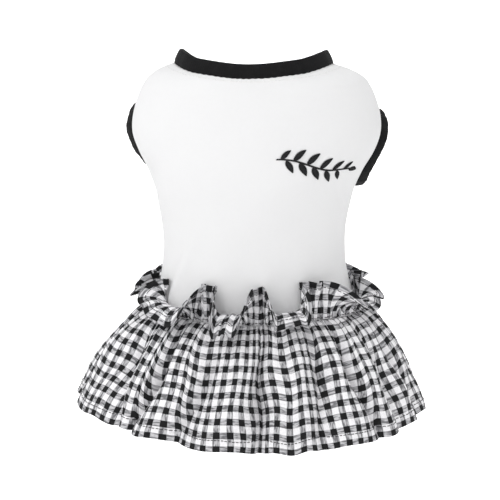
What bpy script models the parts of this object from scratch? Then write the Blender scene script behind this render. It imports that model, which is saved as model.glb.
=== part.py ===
"""A small dog's sleeveless dress, worn upright: a jersey bodice of a back and a belly panel, a knit band
round the neck and round each leg hole, a gathered skirt and a frill that stands up from the waist seam.

Frame: metres, +Z up towards the head, -Y towards the dog's back, +X to the right seen from the back.
The origin is the middle of the neck hole, on the plane of its cloth edge at the back.
"""

import math

import bpy
import numpy as np

# Bodice
BODICE_LENGTH = 0.170
CHEST_HALF_WIDTH = 0.084
BACK_DEPTH = 0.057
BELLY_DEPTH = 0.061
BODICE_WALL = 0.0012
BODICE_SQUARENESS = 2.12
NECK_SCOOP = 0.024
SEAM_ALLOWANCE = 0.006
SIDE_SEAM_ANGLE = 24.0

# Knit bands
BAND_HEIGHT = 0.0096
BAND_THICKNESS = 0.0022
NECK_BAND_LEAN = 0.0036
LEG_BAND_LEAN = 0.0034

# Leg holes
LEG_HOLE_HALF_WIDTH = 0.0260
LEG_HOLE_HALF_HEIGHT = 0.0275
LEG_HOLE_DOWN = 0.0520
LEG_HOLE_ACROSS = 0.0660
LEG_HOLE_FORWARD = 0.0218
LEG_TURN = 33.0
LEG_DROOP = 6.0
WORN_TILT = 0.004
WORN_TWIST = 0.0018

# Skirt and frill
SKIRT_DROP = 0.074
SKIRT_WALL = 0.0010
SKIRT_FLARE = 0.047
SKIRT_PUFF = 0.0030
FOLD_HEIGHT = 0.0085
FRILL_HEIGHT = 0.025
FRILL_WALL = 0.0010

# Clearance between two sewn pieces, so that neither solid enters the other. The skirt's seam ring stands
# SKIRT_SLACK further off the bodice, so that its slanted wall clears the seam allowance.
SEAT_GAP = 0.0003
SKIRT_SLACK = 0.0002

# Facets
BACK_COLUMNS = 38
BELLY_COLUMNS = 22
BODICE_ROWS = 13
NECK_BAND_COLUMNS = 48
LEG_BAND_COLUMNS = 36
SKIRT_FACETS_PER_FOLD = 6
FRILL_FACETS_PER_WAVE = 15
FRILL_ROWS = 4

# Sections of the bodice, from the neck's cloth edge down to the waist seam. down is a share of
# BODICE_LENGTH, and the others are shares of CHEST_HALF_WIDTH, BACK_DEPTH and BELLY_DEPTH. shift is how
# far the section sits to the right, because the dress is worn a little askew.
BODICE_SECTIONS = (
    {"down": 0.00, "width": 0.625, "back": 0.76, "belly": 0.71, "shift": 0.00},
    {"down": 0.02, "width": 0.740, "back": 0.80, "belly": 0.76, "shift": 0.01},
    {"down": 0.05, "width": 0.840, "back": 0.85, "belly": 0.82, "shift": 0.02},
    {"down": 0.09, "width": 0.900, "back": 0.89, "belly": 0.88, "shift": 0.02},
    {"down": 0.14, "width": 0.942, "back": 0.93, "belly": 0.93, "shift": 0.02},
    {"down": 0.21, "width": 0.978, "back": 0.97, "belly": 0.98, "shift": 0.02},
    {"down": 0.28, "width": 0.982, "back": 0.99, "belly": 1.00, "shift": 0.02},
    {"down": 0.36, "width": 0.930, "back": 1.00, "belly": 1.00, "shift": 0.02},
    {"down": 0.43, "width": 0.855, "back": 1.00, "belly": 0.98, "shift": 0.01},
    {"down": 0.50, "width": 0.798, "back": 0.98, "belly": 0.94, "shift": 0.00},
    {"down": 0.58, "width": 0.758, "back": 0.95, "belly": 0.90, "shift": 0.00},
    {"down": 0.66, "width": 0.732, "back": 0.93, "belly": 0.87, "shift": 0.00},
    {"down": 0.74, "width": 0.722, "back": 0.92, "belly": 0.86, "shift": 0.00},
    {"down": 0.82, "width": 0.730, "back": 0.93, "belly": 0.87, "shift": 0.00},
    {"down": 0.91, "width": 0.760, "back": 0.95, "belly": 0.89, "shift": 0.01},
    {"down": 1.00, "width": 0.800, "back": 0.97, "belly": 0.92, "shift": 0.03},
    {"down": 1.08, "width": 0.830, "back": 0.99, "belly": 0.94, "shift": 0.04},
)

# Heights and spread round the body, by direction in degrees, where -90 is the dog's back and 0 its
# right side. neck is a share of NECK_SCOOP, seam of BODICE_LENGTH, flare of SKIRT_FLARE and drop of
# SKIRT_DROP. The first row is the left side, and it follows the last one again.
DIRECTIONS = (
    {"at": -180.0, "neck": 0.00, "seam": 0.945, "flare": 1.09, "drop": 0.84},
    {"at": -135.0, "neck": 0.18, "seam": 0.965, "flare": 0.87, "drop": 0.95},
    {"at": -90.0, "neck": 0.29, "seam": 0.978, "flare": 0.76, "drop": 1.02},
    {"at": -45.0, "neck": 0.18, "seam": 0.965, "flare": 0.78, "drop": 1.02},
    {"at": 0.0, "neck": 0.00, "seam": 0.960, "flare": 0.84, "drop": 0.92},
    {"at": 45.0, "neck": 0.55, "seam": 0.940, "flare": 0.78, "drop": 0.93},
    {"at": 90.0, "neck": 1.00, "seam": 0.930, "flare": 0.74, "drop": 0.94},
    {"at": 135.0, "neck": 0.55, "seam": 0.932, "flare": 0.88, "drop": 0.90},
)

# The skirt's fall from the waist seam: out is a share of its flare and down a share of its drop.
SKIRT_FALL = (
    {"down": 0.00, "out": 0.00},
    {"down": 0.05, "out": 0.13},
    {"down": 0.13, "out": 0.26},
    {"down": 0.26, "out": 0.41},
    {"down": 0.44, "out": 0.57},
    {"down": 0.62, "out": 0.72},
    {"down": 0.81, "out": 0.87},
    {"down": 1.00, "out": 1.00},
)

# One row for each skirt fold, by the valley at its start: its angle in degrees at the seam and at the
# hem, and the height of the ridge that follows it as a share of FOLD_HEIGHT.
SKIRT_FOLDS = (
    {"seam": -172.0, "hem": -170.0, "ridge": 0.80},
    {"seam": -151.0, "hem": -144.0, "ridge": 0.50},
    {"seam": -129.0, "hem": -134.0, "ridge": 0.90},
    {"seam": -105.0, "hem": -113.0, "ridge": 1.00},
    {"seam": -79.0, "hem": -85.0, "ridge": 1.00},
    {"seam": -57.0, "hem": -54.0, "ridge": 0.80},
    {"seam": -41.0, "hem": -36.0, "ridge": 0.65},
    {"seam": -27.0, "hem": -21.0, "ridge": 0.55},
    {"seam": -12.0, "hem": -9.0, "ridge": 0.75},
    {"seam": 10.0, "hem": 9.0, "ridge": 0.95},
    {"seam": 31.0, "hem": 29.0, "ridge": 0.85},
    {"seam": 51.0, "hem": 52.0, "ridge": 0.90},
    {"seam": 70.0, "hem": 72.0, "ridge": 1.00},
    {"seam": 92.0, "hem": 91.0, "ridge": 0.85},
    {"seam": 112.0, "hem": 111.0, "ridge": 0.90},
    {"seam": 131.0, "hem": 132.0, "ridge": 0.95},
    {"seam": 150.0, "hem": 153.0, "ridge": 0.85},
    {"seam": 169.0, "hem": 172.0, "ridge": 0.45},
)

# One row for each wave of the frill, by the angle where it stands up against the bodice, the degrees
# that it stands over to each side, the share of a right angle by which it flops out before the next, and
# the degrees by which the free edge leans into that dip from both sides.
FRILL_WAVES = (
    {"stand": -181.0, "half": 4.0, "flop": 0.61, "lean": 2.5},
    {"stand": -152.0, "half": 2.0, "flop": 0.98, "lean": 0.5},
    {"stand": -114.0, "half": 4.0, "flop": 1.06, "lean": 2.5},
    {"stand": -83.0, "half": 3.0, "flop": 0.98, "lean": -1.0},
    {"stand": -42.0, "half": 9.0, "flop": 0.78, "lean": 2.5},
    {"stand": 8.0, "half": 9.0, "flop": 0.34, "lean": 1.0},
    {"stand": 42.0, "half": 4.0, "flop": 0.95, "lean": 2.0},
    {"stand": 78.0, "half": 4.0, "flop": 0.90, "lean": 0.0},
    {"stand": 113.0, "half": 4.0, "flop": 0.95, "lean": 2.0},
    {"stand": 147.0, "half": 3.0, "flop": 0.86, "lean": 1.0},
)

WHITE_JERSEY = (0.86, 0.86, 0.86, 1.0)
BLACK_KNIT = (0.016, 0.016, 0.017, 1.0)
GINGHAM_GREY = (0.36, 0.36, 0.37, 1.0)


def smooth_column(table, column, at, along="down"):
    """The column's value at `at`, on a cubic through the table's rows that keeps their slopes."""
    x = np.array([row[along] for row in table])
    y = np.array([row[column] for row in table])
    slope = np.gradient(y, x)
    i = np.clip(np.searchsorted(x, at, side="right") - 1, 0, len(x) - 2)
    step = x[i + 1] - x[i]
    u = (at - x[i]) / step
    start = (1 + 2 * u) * (1 - u) ** 2 * y[i] + u * (1 - u) ** 2 * step * slope[i]
    end = u * u * (3 - 2 * u) * y[i + 1] + u * u * (u - 1) * step * slope[i + 1]
    return start + end


def turned(table, column):
    """The table's angles in radians, followed by the first one a full turn on."""
    angles = np.radians([row[column] for row in table])
    return np.append(angles, angles[0] + 2 * math.pi)


def oval_radius(angle, half_width, back, belly):
    """Distance from the middle to a squared oval with its own depth on the back and on the belly side."""
    depth = np.where(np.sin(angle) < 0, back, belly)
    wide = (np.abs(np.cos(angle)) / half_width) ** BODICE_SQUARENESS
    deep = (np.abs(np.sin(angle)) / depth) ** BODICE_SQUARENESS
    return (wide + deep) ** (-1 / BODICE_SQUARENESS)


def round_share(column, angle):
    """The value of a column of DIRECTIONS at any angle, on a smooth closed curve through its rows."""
    rows = DIRECTIONS[-2:] + DIRECTIONS + DIRECTIONS[:3]
    count = len(DIRECTIONS)
    place = np.mod(np.degrees(angle) - DIRECTIONS[0]["at"], 360.0) / (360.0 / count) + 2
    spread = tuple({"place": i, column: row[column]} for i, row in enumerate(rows))
    return smooth_column(spread, column, place, "place")


def neck_height(angle):
    """Height of the neck's cloth edge: highest at the sides, dipped at the back, scooped at the chest."""
    return -NECK_SCOOP * round_share("neck", angle)


def seam_height(angle):
    """Height of the waist seam: lowest at the back, and higher under the belly."""
    return -BODICE_LENGTH * round_share("seam", angle)


def bodice_radius(angle, down):
    """Distance from the middle to the bodice's outer face, at a share of the way down to the seam."""
    return oval_radius(
        angle,
        CHEST_HALF_WIDTH * smooth_column(BODICE_SECTIONS, "width", down),
        BACK_DEPTH * smooth_column(BODICE_SECTIONS, "back", down),
        BELLY_DEPTH * smooth_column(BODICE_SECTIONS, "belly", down),
    )


def round_point(angle, radius, height):
    """The point at this angle and distance from the middle, and at this height."""
    return np.stack([radius * np.cos(angle), radius * np.sin(angle), height], axis=-1)


def askew(points, down):
    """The points moved to the right by the shift of the bodice's section at this share of its length."""
    shift = CHEST_HALF_WIDTH * smooth_column(BODICE_SECTIONS, "shift", down)
    return points + np.multiply.outer(shift, np.array([1.0, 0.0, 0.0]))


def bodice_point(angle, down):
    """A point of the bodice's outer face."""
    top = neck_height(angle)
    height = top + (seam_height(angle) - top) * down
    return askew(round_point(angle, bodice_radius(angle, down), height), down)


def outward_normal(surface, angle, down):
    """Unit normal of a surface given as a function of angle and down, by small differences."""
    step = 1e-4
    across = surface(angle + step, down) - surface(angle - step, down)
    along = surface(angle, down + step) - surface(angle, down - step)
    normal = np.cross(along, across)
    return normal / np.linalg.norm(normal, axis=-1, keepdims=True)


def shifted(surface, angle, down, by):
    """Points of the surface moved along its outward normal."""
    return surface(angle, down) + by * outward_normal(surface, angle, down)


def add_object(name, points, faces, colour, roughness):
    """A mesh object with its own plain material."""
    mesh = bpy.data.meshes.new(name)
    mesh.from_pydata(points.tolist(), [], faces)
    mesh.shade_smooth()
    mesh.set_sharp_from_angle(angle=math.radians(50))
    material = bpy.data.materials.new(name)
    material.use_nodes = True
    shader = material.node_tree.nodes["Principled BSDF"]
    shader.inputs["Base Color"].default_value = colour
    shader.inputs["Roughness"].default_value = roughness
    mesh.materials.append(material)
    made = bpy.data.objects.new(name, mesh)
    bpy.context.scene.collection.objects.link(made)
    return made


def ring_faces(sections, around, closed):
    """Quads of a loft through closed loops of `around` points, with its two ends closed if it is open."""
    faces = []
    for i in range(sections if closed else sections - 1):
        here = i * around
        there = ((i + 1) % sections) * around
        for k in range(around):
            k2 = (k + 1) % around
            faces.append((here + k, here + k2, there + k2, there + k))
    if not closed:
        last = (sections - 1) * around
        for k in range(around // 2 - 1):
            back = around - 1 - k
            faces.append((back, back - 1, k + 1))
            faces.append((back, k + 1, k))
            faces.append((last + k, last + k + 1, last + back))
            faces.append((last + k + 1, last + back - 1, last + back))
    return faces


def wall_solid(name, outer, inner, closed, colour, roughness):
    """A wall between two grids of points, [row, column, xyz], both with the same columns round the body."""
    loops = np.concatenate([outer, inner[::-1]], axis=0).transpose(1, 0, 2)
    sections, around = loops.shape[:2]
    faces = ring_faces(sections, around, closed)
    return add_object(name, loops.reshape(-1, 3), faces, colour, roughness)


# Bodice


def panel(name, first, last, columns):
    """One jersey panel, from the neck edge to the seam allowance, between two side-seam angles."""
    gap = SEAT_GAP / 2 / (CHEST_HALF_WIDTH * BODICE_SECTIONS[0]["width"])
    angles = np.linspace(math.radians(first) + gap, math.radians(last) - gap, columns + 1)
    end = 1 + SEAM_ALLOWANCE / BODICE_LENGTH
    downs = end * np.linspace(0, 1, BODICE_ROWS + 1) ** 1.25
    angle, down = np.meshgrid(angles, downs)
    outer = bodice_point(angle, down)
    inner = shifted(bodice_point, angle, down, -BODICE_WALL)
    inner[0, :, 2] = outer[0, :, 2]
    return wall_solid(name, outer, inner, False, WHITE_JERSEY, 0.85)


# Leg holes and their bands


def leg_axes(side):
    """The leg's outward axis and the two directions across its hole, for side 1 (right) or -1 (left)."""
    turn = math.radians(LEG_TURN)
    droop = math.radians(LEG_DROOP)
    level = math.cos(droop)
    out = np.array([side * math.cos(turn) * level, math.sin(turn) * level, -math.sin(droop)])
    across = np.array([-side * math.sin(turn), math.cos(turn), 0.0])
    return out, across, np.cross(out, across) * side


def leg_centre(side):
    """Middle of the leg hole: the dress is worn askew, with the left one a little higher and forward."""
    forward = LEG_HOLE_FORWARD - side * WORN_TWIST
    return np.array([side * LEG_HOLE_ACROSS, forward, -LEG_HOLE_DOWN - side * WORN_TILT])


def inside_bodice(points):
    """Whether each point is inside the bodice's outer face."""
    angle = np.arctan2(points[..., 1], points[..., 0])
    top = neck_height(angle)
    down = (top - points[..., 2]) / (top - seam_height(angle))
    return np.hypot(points[..., 0], points[..., 1]) < bodice_radius(angle, down)


def leg_rim(side, spread):
    """How far out along the leg's axis the bodice's face lies, round a hole narrowed by `spread`."""
    out, across, up = leg_axes(side)
    turn = np.linspace(0, 2 * math.pi, LEG_BAND_COLUMNS, endpoint=False)
    wide = (LEG_HOLE_HALF_WIDTH - spread) * np.cos(turn)
    high = (LEG_HOLE_HALF_HEIGHT - spread) * np.sin(turn)
    start = leg_centre(side) + np.outer(wide, across) + np.outer(high, up)
    near = np.full(len(turn), -LEG_HOLE_HALF_WIDTH)
    far = np.full(len(turn), LEG_HOLE_HALF_WIDTH)
    for _ in range(40):
        middle = (near + far) / 2
        inside = inside_bodice(start + np.outer(middle, out))
        near = np.where(inside, middle, near)
        far = np.where(inside, far, middle)
    return start, near


def leg_hole_cutter(side):
    """An oval rod along the leg's axis, longer than the walls that it cuts."""
    out, across, up = leg_axes(side)
    turn = np.linspace(0, 2 * math.pi, LEG_BAND_COLUMNS, endpoint=False)
    wide = np.outer(LEG_HOLE_HALF_WIDTH * np.cos(turn), across)
    high = np.outer(LEG_HOLE_HALF_HEIGHT * np.sin(turn), up)
    ends = []
    for reach in (-0.8 * LEG_HOLE_HALF_WIDTH, 1.5 * LEG_HOLE_HALF_WIDTH):
        ends.append(leg_centre(side) + wide + high + reach * out)
    faces = ring_faces(2, LEG_BAND_COLUMNS, False)
    if side < 0:
        faces = [face[::-1] for face in faces]
    cutter = add_object("leg_hole_cutter", np.concatenate(ends), faces, BLACK_KNIT, 1.0)
    cutter.hide_render = True
    cutter.display_type = "WIRE"
    return cutter


def cut(target, cutter):
    hole = target.modifiers.new(cutter.name, "BOOLEAN")
    hole.operation = "DIFFERENCE"
    hole.solver = "EXACT"
    hole.object = cutter


def leg_band(name, side):
    """A knit collar that stands in the leg hole, with its root level with the cloth's inner face."""
    out, across, up = leg_axes(side)
    start, rim = leg_rim(side, SEAT_GAP)
    middle = leg_centre(side)
    inward = middle - start
    inward = inward / np.linalg.norm(inward, axis=1, keepdims=True)
    profile = (
        (-BODICE_WALL, 0.0),
        (BODICE_WALL, 0.0),
        (0.55 * BAND_HEIGHT, 0.35 * LEG_BAND_LEAN),
        (BAND_HEIGHT, LEG_BAND_LEAN),
        (BAND_HEIGHT + BAND_THICKNESS / 4, LEG_BAND_LEAN + BAND_THICKNESS / 2),
        (BAND_HEIGHT, LEG_BAND_LEAN + BAND_THICKNESS),
        (0.55 * BAND_HEIGHT, 0.35 * LEG_BAND_LEAN + BAND_THICKNESS),
        (-BODICE_WALL, BAND_THICKNESS),
    )
    rings = []
    for reach, lean in profile:
        rings.append(start + np.outer(rim + reach, out) + lean * inward)
    loops = np.stack(rings, axis=1)
    faces = ring_faces(len(loops), len(profile), True)
    if side > 0:
        faces = [face[::-1] for face in faces]
    return add_object(name, loops.reshape(-1, 3), faces, BLACK_KNIT, 0.8)


def neck_band():
    """A knit ring on the neck's cloth edge, leaning in towards its top."""
    angle = np.linspace(-math.pi, math.pi, NECK_BAND_COLUMNS, endpoint=False)
    radius = bodice_radius(angle, 0.0) - BODICE_WALL / 2
    base = neck_height(angle) + SEAT_GAP
    half = BAND_THICKNESS / 2
    profile = (
        (0.0, half, 0.0),
        (0.5, half, 0.45),
        (0.92, half, 0.95),
        (1.0, 0.0, 1.0),
        (0.92, -half, 0.95),
        (0.5, -half, 0.45),
        (0.0, -half, 0.0),
    )
    rings = []
    for rise, out, lean in profile:
        rings.append(round_point(angle, radius + out - lean * NECK_BAND_LEAN, base + rise * BAND_HEIGHT))
    loops = np.stack(rings, axis=1)
    faces = ring_faces(len(loops), len(profile), True)
    return add_object("neck_band", loops.reshape(-1, 3), [f[::-1] for f in faces], BLACK_KNIT, 0.8)


# Skirt


def flare(angle):
    """How far the hem stands out from the seam: widest at the sides."""
    return SKIRT_FLARE * round_share("flare", angle)


def hem_drop(angle):
    """How far the hem hangs below the seam: least at the sides."""
    return SKIRT_DROP * round_share("drop", angle)


def fold_height(angle, down):
    """Height of the skirt's folds over their valleys, which wander from seam angle to hem angle."""
    seam = turned(SKIRT_FOLDS, "seam")
    hem = turned(SKIRT_FOLDS, "hem")
    ridge = np.array([row["ridge"] for row in SKIRT_FOLDS])
    height = np.zeros(np.broadcast(angle, down).shape)
    for i in range(len(ridge)):
        first = seam[i] + (hem[i] - seam[i]) * down
        last = seam[i + 1] + (hem[i + 1] - seam[i + 1]) * down
        share = np.mod(angle - first, 2 * math.pi) / (last - first)
        rise = ridge[i] * np.sin(math.pi * np.clip(share, 0, 1)) ** 2
        height = np.maximum(height, np.where(share < 1, rise, 0))
    return height * (SKIRT_PUFF + (FOLD_HEIGHT - SKIRT_PUFF) * down)


def skirt_point(angle, down):
    """A point of the skirt's inner face, down from the waist seam (0) to the hem (1)."""
    out = np.interp(down, [r["down"] for r in SKIRT_FALL], [r["out"] for r in SKIRT_FALL])
    radius = bodice_radius(angle, 1.0) + SEAT_GAP + SKIRT_SLACK + out * flare(angle)
    height = seam_height(angle) - hem_drop(angle) * down
    return askew(round_point(angle, radius + fold_height(angle, down), height), np.ones(np.shape(height)))


def skirt():
    """A gathered, flared cloth wall with one ridge for each row of the fold table."""
    seam = turned(SKIRT_FOLDS, "seam")
    downs = np.array([row["down"] for row in SKIRT_FALL])
    parts = []
    for first, last in zip(seam[:-1], seam[1:]):
        parts.append(np.linspace(first, last, SKIRT_FACETS_PER_FOLD, endpoint=False))
    at_seam = np.concatenate(parts)
    at_hem = np.interp(at_seam, seam, turned(SKIRT_FOLDS, "hem"))
    down = downs[:, None]
    angle = at_seam + (at_hem - at_seam) * down
    inner = skirt_point(angle, down)
    outer = inner + SKIRT_WALL * outward_normal(skirt_point, angle, np.clip(down, 0.001, 0.999))
    outer[0, :, 2] = inner[0, :, 2]
    outer[-1, :, 2] = inner[-1, :, 2]
    return wall_solid("skirt", outer, inner, True, GINGHAM_GREY, 0.8)


# Frill


def frill_wave(angle):
    """At an angle: how far the frill tips outwards, as a share of a right angle that is 0 where it stands,
    and how far its free edge leans along the seam, away from the nearest stand and into the dip."""
    stand = turned(FRILL_WAVES, "stand")
    half = np.radians([row["half"] for row in FRILL_WAVES])
    half = np.append(half, half[0])
    flop = np.zeros(np.shape(angle))
    lean = np.zeros(np.shape(angle))
    for i, row in enumerate(FRILL_WAVES):
        first = stand[i] + half[i]
        last = stand[i + 1] - half[i + 1]
        share = np.clip(np.mod(angle - first, 2 * math.pi) / (last - first), 0, 1)
        rise = row["flop"] * (1 - (2 * share - 1) ** 4) ** 1.3
        flop = np.maximum(flop, np.where(share < 1, rise, 0))
        across = np.clip(np.mod(angle - stand[i], 2 * math.pi) / (stand[i + 1] - stand[i]), 0, 1)
        lean += math.radians(row["lean"]) * np.sin(2 * math.pi * across)
    return flop, lean


def frill_point(angle, up):
    """A point of the frill's inner face, from the waist seam (0) up its bent height (1)."""
    flop, lean = frill_wave(angle)
    bend = flop * math.pi / 2
    radius = bodice_radius(angle, 1.0) + SEAT_GAP
    out = FRILL_HEIGHT * up * np.sin(bend * up)
    rise = FRILL_HEIGHT * up * np.cos(bend * up)
    height = seam_height(angle) + SEAT_GAP + rise
    return askew(round_point(angle + lean * up**2, radius + out, height), np.ones(np.shape(height)))


def frill():
    """A wavy cloth strip that stands on the waist seam and flops outwards between its stands."""
    stand = turned(FRILL_WAVES, "stand")
    angles = []
    for first, last in zip(stand[:-1], stand[1:]):
        angles.append(np.linspace(first, last, FRILL_FACETS_PER_WAVE, endpoint=False))
    angle, up = np.meshgrid(np.concatenate(angles), np.linspace(1, 0, FRILL_ROWS))
    inner = frill_point(angle, up)
    outer = inner + FRILL_WALL * frill_normal(angle, np.clip(up, 0.001, 0.999))
    outer[-1, :, 2] = inner[-1, :, 2]
    return wall_solid("frill", outer, inner, True, GINGHAM_GREY, 0.8)


def frill_normal(angle, up):
    """Unit normal of the frill's right side, which faces away from the body where it stands."""
    return -outward_normal(frill_point, angle, up)


def build():
    for old in list(bpy.data.objects):
        bpy.data.objects.remove(old)
    panels = (
        panel("back_panel", -180.0 - SIDE_SEAM_ANGLE, SIDE_SEAM_ANGLE, BACK_COLUMNS),
        panel("belly_panel", SIDE_SEAM_ANGLE, 180.0 - SIDE_SEAM_ANGLE, BELLY_COLUMNS),
    )
    neck_band()
    for name, side in (("leg_band_right", 1), ("leg_band_left", -1)):
        cutter = leg_hole_cutter(side)
        for one in panels:
            cut(one, cutter)
        leg_band(name, side)
    skirt()
    frill()


build()
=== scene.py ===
"""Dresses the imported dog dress: jersey bodice, knit bands, gathered gingham skirt and frill, stitching,
an embroidered sprig, loose thread ends, and a pale studio. Everything is in metres, in the frame of the
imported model."""

import math

import bpy
import numpy as np
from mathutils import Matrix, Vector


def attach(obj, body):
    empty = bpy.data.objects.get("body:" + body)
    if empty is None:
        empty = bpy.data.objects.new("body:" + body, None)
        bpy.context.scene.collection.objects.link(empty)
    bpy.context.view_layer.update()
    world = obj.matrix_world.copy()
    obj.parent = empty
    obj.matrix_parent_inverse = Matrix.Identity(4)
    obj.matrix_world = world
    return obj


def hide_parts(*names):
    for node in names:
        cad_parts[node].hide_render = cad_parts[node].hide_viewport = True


bl_info = {
    "name": "Dog dress",
    "version": (1, 0, 0),
    "blender": (4, 5, 0),
    "location": "3D View > Sidebar > Dog dress",
    "description": "Builds a small dog's dress of jersey and gathered gingham",
    "category": "Add Mesh",
}

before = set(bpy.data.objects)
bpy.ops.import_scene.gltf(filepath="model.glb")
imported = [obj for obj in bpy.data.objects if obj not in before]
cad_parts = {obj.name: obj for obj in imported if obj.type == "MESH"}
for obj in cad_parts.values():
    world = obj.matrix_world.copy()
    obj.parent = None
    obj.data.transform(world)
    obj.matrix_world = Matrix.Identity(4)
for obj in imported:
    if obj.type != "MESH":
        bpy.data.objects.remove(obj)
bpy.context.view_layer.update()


def table(columns, *rows):
    """Rows of a table as dicts, by the names of its columns."""
    names = columns.split()
    return tuple(dict(zip(names, row)) for row in rows)


# Shape of the dress, as its solids have it
BODICE_LENGTH = 0.170
CHEST_HALF_WIDTH = 0.084
BACK_DEPTH = 0.057
BELLY_DEPTH = 0.061
BODICE_SQUARENESS = 2.12
NECK_SCOOP = 0.024
SEAM_ALLOWANCE = 0.006
SIDE_SEAM_ANGLE = 24.0
LEG_HOLE_HALF_WIDTH = 0.0260
LEG_HOLE_HALF_HEIGHT = 0.0275
LEG_HOLE_DOWN = 0.0520
LEG_HOLE_ACROSS = 0.0660
LEG_HOLE_FORWARD = 0.0218
LEG_TURN = 33.0
LEG_DROOP = 6.0
WORN_TILT = 0.004
WORN_TWIST = 0.0018
SKIRT_DROP = 0.074
SKIRT_FLARE = 0.047
SKIRT_PUFF = 0.0030
FOLD_HEIGHT = 0.0085
FRILL_HEIGHT = 0.025
SEAT_GAP = 0.0003
SKIRT_SEAT = 0.0015
FRILL_SEAT = 0.0010
SIDE_SEAM_GAP = 0.0001

# Extra layer of the skirt's hem and of the frill's edge, and how far into the check pattern the free edges
# of the gingham are cut, in checks
HEM_LAYER = 0.00035
EDGE_LAYER = 0.0003
EDGE_STRIPE = 0.30

# How far the bands lean in at their tops, with 1 for the right leg and -1 for the left
NECK_BAND_LEAN = 0.0040
LEG_BAND_LEAN = {1: 0.0012, -1: 0.0034}

# Lengths of seam that the stitch rows are counted on, how far their threads arch out of the cloth, and the
# share of a stitch that its thread fills
HEM_RUN = 0.72
FRILL_RUN = 0.80
SEAM_RUN = 0.42
NECK_RUN = 0.33
STITCH_LIFT = 0.00040
NECK_STITCH_LIFT = 0.00020
STITCH_FILL = 0.84
NECK_STITCH_FILL = 0.78

# The embroidered sprig: its middle by angle in degrees and share of the way down, its slant in degrees, the
# radius and the length that turn metres into angle and share, and its threads
SPRIG_AT = -49.0
SPRIG_DOWN = 0.362
SPRIG_SLANT = 13.0
SPRIG_RADIUS = 0.066
SPRIG_FALL = 0.165
STEM_LENGTH = 0.053
STEM_WAVE = 0.0016
STEM_HALF_WIDTH = 0.00055
STEM_STITCHES = 110
STEM_LIFT = 0.00032
LEAF_LEAN = 48.0
LEAF_LIFT = 0.00028
LEAF_SWELL = 0.25
LEAF_THREAD_PITCH = 0.00042
EMBROIDERY_RADIUS = 0.00027
THREAD_STEPS = 7
LOOSE_END_RADIUS = 0.00014
LOOSE_END_ROOT = 0.0004

# Rows and columns of the meshes
PANEL_ROWS = 124
BACK_COLUMNS = 236
BELLY_COLUMNS = 144
NECK_COLUMNS = 360
LEG_COLUMNS = 220
SKIRT_ROWS = 54
SKIRT_COLUMNS = 900
FRILL_ROWS = 34
FRILL_COLUMNS = 1000
BAND_SIDES = 22
TUBE_SIDES = 6
FLOOR_SIDES = 96

# The camera, by degrees and metres, and where the photo has what it aims at
CAMERA_AZIMUTH = 6.0
CAMERA_ELEVATION = 9.0
CAMERA_DISTANCE = 1.6
CAMERA_AIM = (0.0, 0.0, -0.130)
SENSOR_WIDTH = 36.0
METRES_PER_PIXEL = 0.00067
IMAGE_PIXELS = 500
AIM_PIXEL = (254.0, 257.0)

# The floor, which curves up into a wall, and how brightly it glows for the cloth and for the camera
FLOOR_LEVEL = -0.60
FLOOR_RADIUS = 3.2
COVE_RADIUS = 1.4
WALL_HEIGHT = 5.0
FLOOR_GLOW = (0.30, 0.30, 0.30, 1.0)
FLOOR_GLOW_SEEN = (0.85, 0.85, 0.85, 1.0)
WORLD_STRENGTH = 0.25

# Square area lights that face a point on the dress's axis at the height of aim
LIGHTS = table(
    "name place aim size energy",
    ("key", (-1.0, -1.2, 1.6), -0.12, 1.3, 17.5),
    ("fill", (1.6, -1.3, 0.3), -0.12, 1.4, 1.5),
    ("top", (0.1, 0.2, 1.9), -0.10, 1.6, 10.0),
)

# Sections of the bodice, from the neck's cloth edge down to the waist seam. down is a share of
# BODICE_LENGTH, and the others are shares of CHEST_HALF_WIDTH, BACK_DEPTH and BELLY_DEPTH.
BODICE_SECTIONS = table(
    "down width back belly shift",
    (0.00, 0.625, 0.76, 0.71, 0.00),
    (0.02, 0.740, 0.80, 0.76, 0.01),
    (0.05, 0.840, 0.85, 0.82, 0.02),
    (0.09, 0.900, 0.89, 0.88, 0.02),
    (0.14, 0.942, 0.93, 0.93, 0.02),
    (0.21, 0.978, 0.97, 0.98, 0.02),
    (0.28, 0.982, 0.99, 1.00, 0.02),
    (0.36, 0.930, 1.00, 1.00, 0.02),
    (0.43, 0.855, 1.00, 0.98, 0.01),
    (0.50, 0.798, 0.98, 0.94, 0.00),
    (0.58, 0.758, 0.95, 0.90, 0.00),
    (0.66, 0.732, 0.93, 0.87, 0.00),
    (0.74, 0.722, 0.92, 0.86, 0.00),
    (0.82, 0.730, 0.93, 0.87, 0.00),
    (0.91, 0.760, 0.95, 0.89, 0.01),
    (1.00, 0.800, 0.97, 0.92, 0.03),
    (1.08, 0.830, 0.99, 0.94, 0.04),
)

# By direction in degrees: -90 is the dog's back and 0 its right side. neck is a share of NECK_SCOOP,
# seam of BODICE_LENGTH, flare of SKIRT_FLARE and drop of SKIRT_DROP.
DIRECTIONS = table(
    "at neck seam flare drop",
    (-180.0, 0.00, 0.945, 1.09, 0.84),
    (-135.0, 0.18, 0.965, 0.87, 0.95),
    (-90.0, 0.29, 0.978, 0.76, 1.02),
    (-45.0, 0.18, 0.965, 0.78, 1.02),
    (0.0, 0.00, 0.960, 0.84, 0.92),
    (45.0, 0.55, 0.940, 0.78, 0.93),
    (90.0, 1.00, 0.930, 0.74, 0.94),
    (135.0, 0.55, 0.932, 0.88, 0.90),
)

# The skirt's fall from the waist seam: out is a share of its flare and down a share of its drop.
SKIRT_FALL = table(
    "down out",
    (0.00, 0.00),
    (0.05, 0.13),
    (0.13, 0.26),
    (0.26, 0.41),
    (0.44, 0.57),
    (0.62, 0.72),
    (0.81, 0.87),
    (1.00, 1.00),
)

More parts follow.
